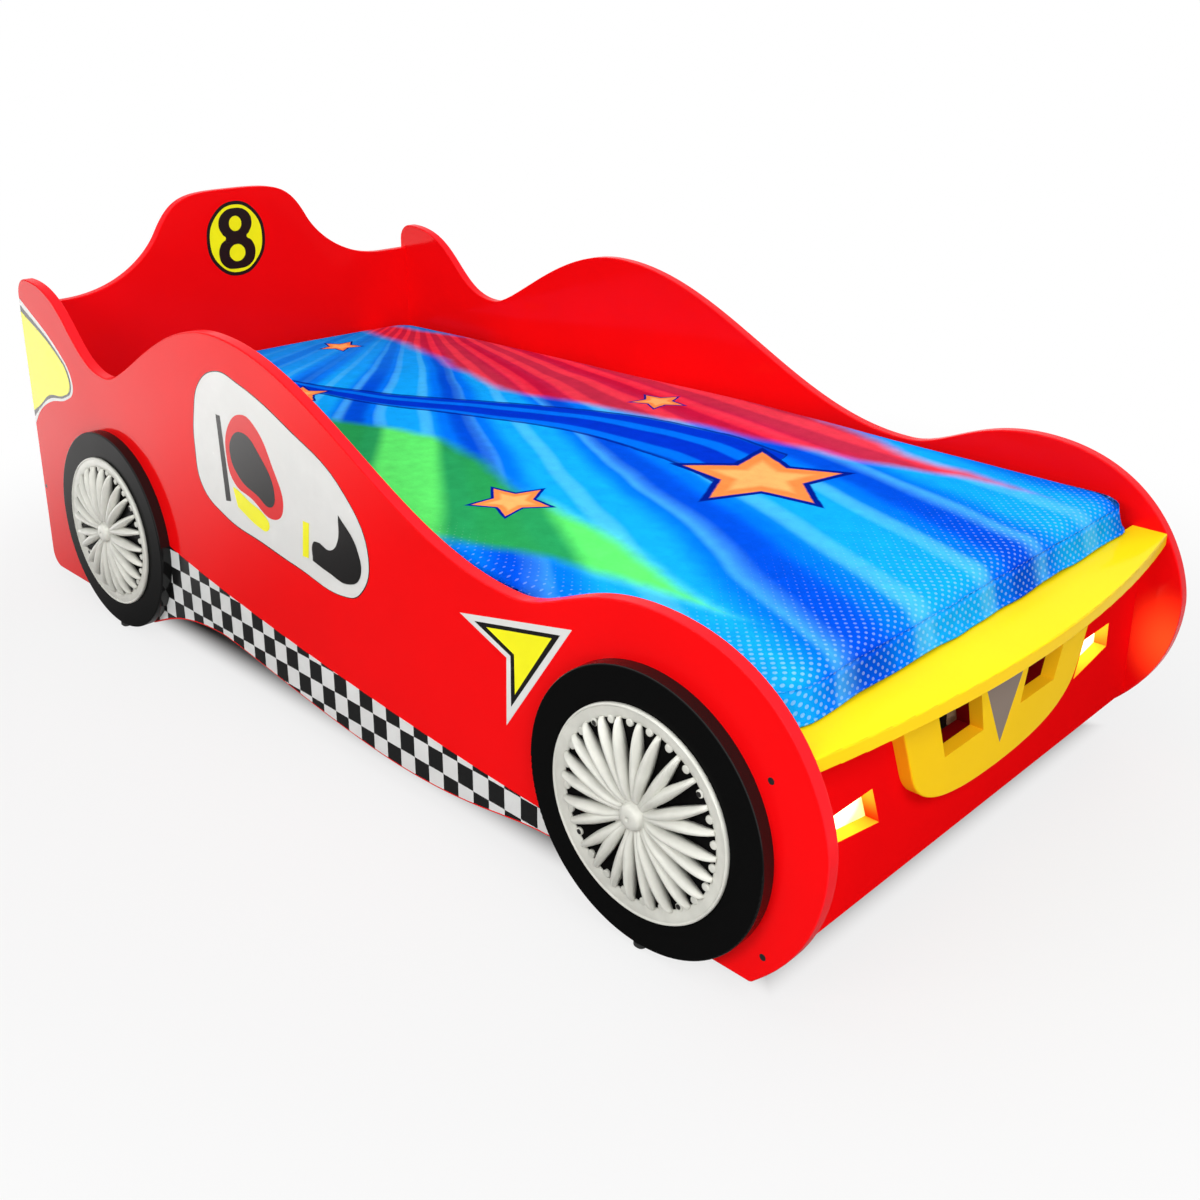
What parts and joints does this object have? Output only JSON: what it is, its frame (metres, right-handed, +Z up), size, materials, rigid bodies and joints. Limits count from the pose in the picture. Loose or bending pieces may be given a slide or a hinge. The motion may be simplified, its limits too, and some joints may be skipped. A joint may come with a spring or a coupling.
{
  "type": "car bed for children",
  "caption": "Child's single bed in the shape of a racing car, with lit headlamps, slatted base, mattress and fitted cover.",
  "frame": {"origin": "on the floor, under the middle of the bed", "axes": "+X towards the foot end (the car's nose), +Y towards the car's left side, +Z up"},
  "size_m": [2.1379, 1.158, 0.846],
  "materials": {
    "red_lacquer": "high-gloss red lacquer on fibreboard, slightly paler where the edges are rounded",
    "yellow_lacquer": "gloss yellow lacquer on fibreboard",
    "black_lacquer": "satin black lacquer on fibreboard",
    "trim_plastic": "pale grey moulded plastic with a silvery sheen",
    "pine": "planed pine, oiled",
    "black_steel": "black oxide steel",
    "zinc_steel": "bright zinc-plated steel",
    "glide_plastic": "black polyamide",
    "lamp_shell": "white moulded plastic that glows warm from the lamp inside",
    "lamp_glow": "frosted diffuser, lit",
    "circuit_board": "green circuit board with white light sources",
    "box_plastic": "fine-textured black plastic",
    "rocker_plastic": "smooth black plastic",
    "cell_jacket": "printed metal jacket",
    "wire_jacket": "soft black cable jacket",
    "window_print": "printed vinyl film, off-white with a seat in red and yellow",
    "arrow_print": "printed vinyl film, yellow with black and silver borders",
    "tail_print": "printed vinyl film, yellow with black and silver borders",
    "checker_print": "printed vinyl film, black and white checks",
    "roundel_print": "printed vinyl film, yellow with a black ring and a plain number",
    "triangle_print": "silver-grey vinyl film",
    "mattress_foam": "foam core in white ticking",
    "plush_cover": "short plush in blues with green and red patches"
  },
  "bodies": {
    "bedframe": {"arrow_decal_left": "arrow_print", "arrow_decal_right": "arrow_print", "battery_box": "box_plastic", "battery_cells": "cell_jacket", "battery_contacts": "zinc_steel", "bumper_shelf": "yellow_lacquer", "centre_legs": "pine", "centre_rail": "pine", "checker_decal_left": "checker_print", "checker_decal_right": "checker_print", "floor_glides": "glide_plastic", "front_panel": "red_lacquer", "grille_panel": "yellow_lacquer", "grille_triangle": "triangle_print", "headboard": "red_lacquer", "headlamp_box_left": "lamp_shell", "headlamp_box_right": "lamp_shell", "headlamp_diffuser_left": "lamp_glow", "headlamp_diffuser_right": "lamp_glow", "lamp_wiring": "wire_jacket", "led_boards": "circuit_board", "ledger_rail_left": "pine", "ledger_rail_right": "pine", "number_roundel": "roundel_print", "panel_bolts": "black_steel", "rail_cleats": "pine", "rail_screws": "zinc_steel", "side_panel_left": "red_lacquer", "side_panel_right": "red_lacquer", "slat_01": "pine", "slat_02": "pine", "slat_03": "pine", "slat_04": "pine", "slat_05": "pine", "slat_06": "pine", "slat_07": "pine", "slat_08": "pine", "slat_09": "pine", "slat_10": "pine", "slat_screws": "zinc_steel", "switch_housing": "box_plastic", "tail_decal_left": "tail_print", "tail_decal_right": "tail_print", "trim_screws": "black_steel", "tyre_disc_front_left": "black_lacquer", "tyre_disc_front_right": "black_lacquer", "tyre_disc_rear_left": "black_lacquer", "tyre_disc_rear_right": "black_lacquer", "tyre_screws": "zinc_steel", "wheel_trim_front_left": "trim_plastic", "wheel_trim_front_right": "trim_plastic", "wheel_trim_rear_left": "trim_plastic", "wheel_trim_rear_right": "trim_plastic", "window_decal_left": "window_print", "window_decal_right": "window_print", "wire_clips": "wire_jacket"},
    "battery_lid": {"battery_lid": "box_plastic"},
    "lamp_rocker": {"switch_rocker": "rocker_plastic"},
    "mattress": {"mattress_core": "mattress_foam", "mattress_cover": "plush_cover"}
  },
  "joints": [
    {"name": "mattress_lift", "type": "slide", "parent": "bedframe", "child": "mattress", "axis": [0, 0, 1], "range_m": [0, 0.6]},
    {"name": "battery_lid_slide", "type": "slide", "parent": "bedframe", "child": "battery_lid", "axis": [0, 1, 0], "range_m": [0, 0.058]},
    {"name": "lamp_rocker_tilt", "type": "hinge", "parent": "bedframe", "child": "lamp_rocker", "pos_m": [0.947, 0.116, 0.15], "axis": [0, 0, 1], "range_deg": [0, 16]}
  ]
}
